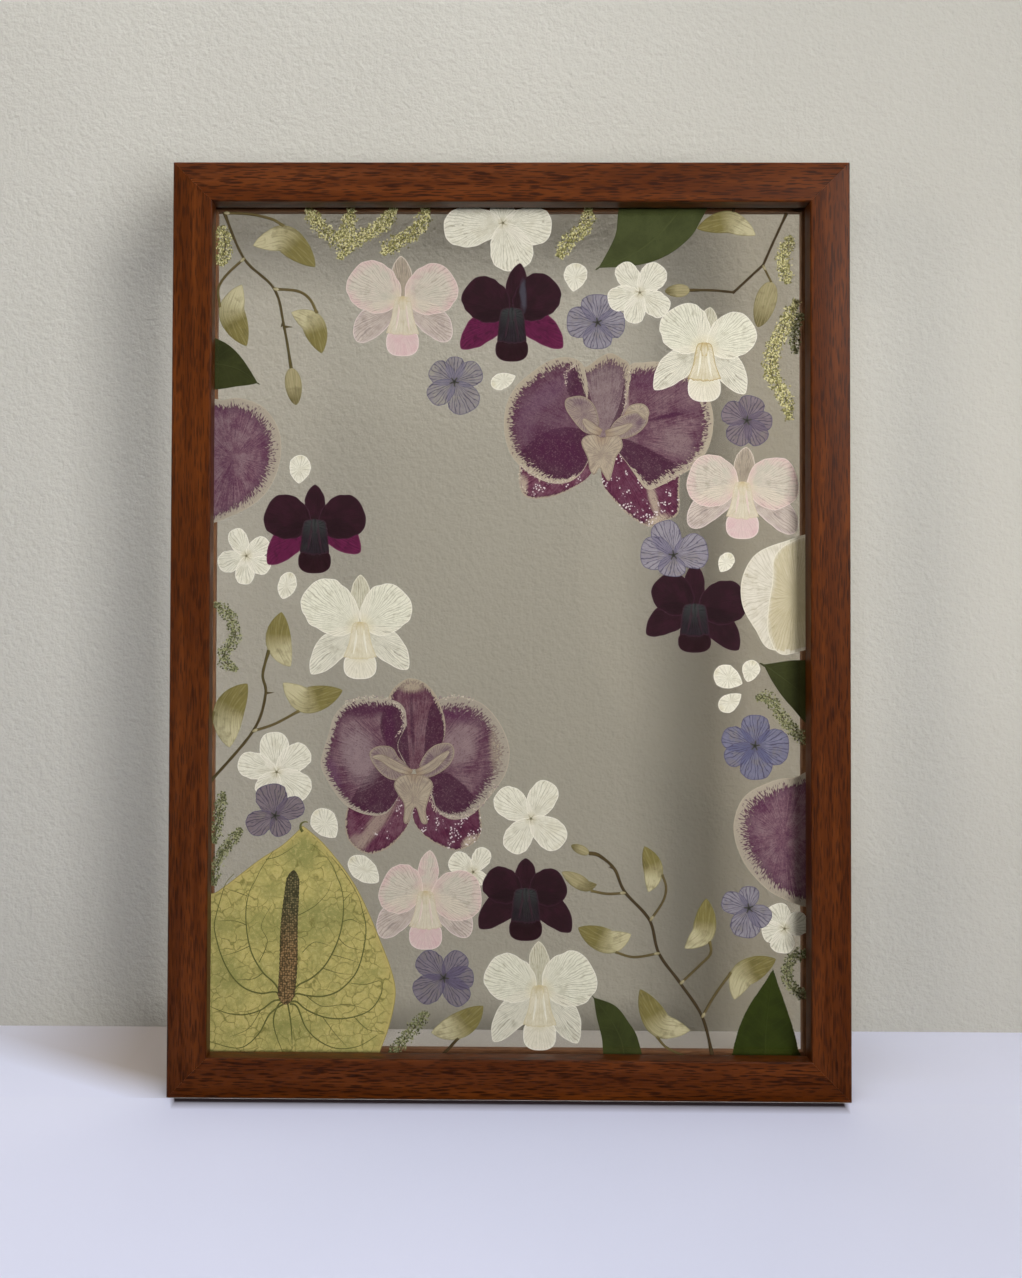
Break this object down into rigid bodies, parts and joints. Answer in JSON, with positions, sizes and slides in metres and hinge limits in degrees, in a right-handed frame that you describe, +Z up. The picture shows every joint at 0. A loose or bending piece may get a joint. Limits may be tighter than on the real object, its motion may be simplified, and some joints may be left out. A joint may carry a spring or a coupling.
{
  "type": "pressed flower frame",
  "caption": "Upright wooden frame with pressed orchids, florets, petals, leaves, buds and catkins held flat between two panes of glass.",
  "frame": {"origin": "centre of the bottom of the frame, halfway through its depth", "axes": "+Z up along the height, +X to the right seen from the front, -Y out of the front"},
  "size_m": [0.3254, 0.02, 0.4484],
  "materials": {
    "mahogany_stained_wood": "mahogany stain under a satin lacquer, open pores",
    "bead_wood": "plain, waxed",
    "picture_glass": "clear polished float glass",
    "pressed_pink_petal": "dry, veined, pink at the rims",
    "pressed_white_petal": "dry, cream white, finely veined",
    "pressed_plum_petal": "dry, nearly black purple",
    "pressed_purple_petal": "dry, purple with a pale dashed margin",
    "pressed_lilac_petal": "dry, translucent, dark veins",
    "pressed_spathe": "dry, olive yellow, veined",
    "pressed_leaf": "dry, dark green",
    "pressed_bud": "dry, olive",
    "pressed_catkin": "dry, granular"
  },
  "bodies": {
    "root": {"frame_bottom_rail": "mahogany_stained_wood", "frame_top_rail": "mahogany_stained_wood", "frame_left_stile": "mahogany_stained_wood", "frame_right_stile": "mahogany_stained_wood", "bead_bottom": "bead_wood", "bead_top": "bead_wood", "bead_left": "bead_wood", "bead_right": "bead_wood", "glass_front": "picture_glass", "glass_back": "picture_glass", "pink_orchid_top": "pressed_pink_petal", "pink_orchid_right": "pressed_pink_petal", "pink_orchid_bottom": "pressed_pink_petal", "white_orchid_top": "pressed_white_petal", "white_orchid_middle": "pressed_white_petal", "white_orchid_bottom": "pressed_white_petal", "white_floret_top": "pressed_white_petal", "white_floret_upper_right": "pressed_white_petal", "white_floret_left": "pressed_white_petal", "white_floret_lower_left": "pressed_white_petal", "white_floret_centre": "pressed_white_petal", "white_floret_right": "pressed_white_petal", "cream_petal_right": "pressed_white_petal", "plum_orchid_top": "pressed_plum_petal", "plum_orchid_left": "pressed_plum_petal", "plum_orchid_right": "pressed_plum_petal", "plum_orchid_bottom": "pressed_plum_petal", "moth_orchid_upper": "pressed_purple_petal", "moth_orchid_lower": "pressed_purple_petal", "moth_petal_left": "pressed_purple_petal", "moth_petal_right": "pressed_purple_petal", "lilac_floret_top": "pressed_lilac_petal", "lilac_floret_middle": "pressed_lilac_petal", "lilac_floret_upper_right": "pressed_lilac_petal", "lilac_floret_right": "pressed_lilac_petal", "blue_floret_right": "pressed_lilac_petal", "lilac_floret_lower_right": "pressed_lilac_petal", "lilac_floret_bottom": "pressed_lilac_petal", "lilac_floret_left": "pressed_lilac_petal", "anthurium_spathe": "pressed_spathe", "anthurium_spadix": "pressed_spathe", "leaf_left": "pressed_leaf", "leaf_right": "pressed_leaf", "leaf_top": "pressed_leaf", "leaf_bottom": "pressed_leaf", "leaf_bottom_right": "pressed_leaf", "bud_sprig_top_left": "pressed_bud", "bud_twig_top_right": "pressed_bud", "bud_sprig_left": "pressed_bud", "bud_sprig_bottom_right": "pressed_bud", "bud_top_right": "pressed_bud", "bud_bottom": "pressed_bud", "catkin_top_left": "pressed_catkin", "catkin_top_middle": "pressed_catkin", "catkin_top": "pressed_catkin", "catkin_top_right": "pressed_catkin", "catkin_right": "pressed_catkin", "catkin_left": "pressed_catkin", "catkin_right_middle": "pressed_catkin", "catkin_bottom": "pressed_catkin"}
  },
  "joints": []
}
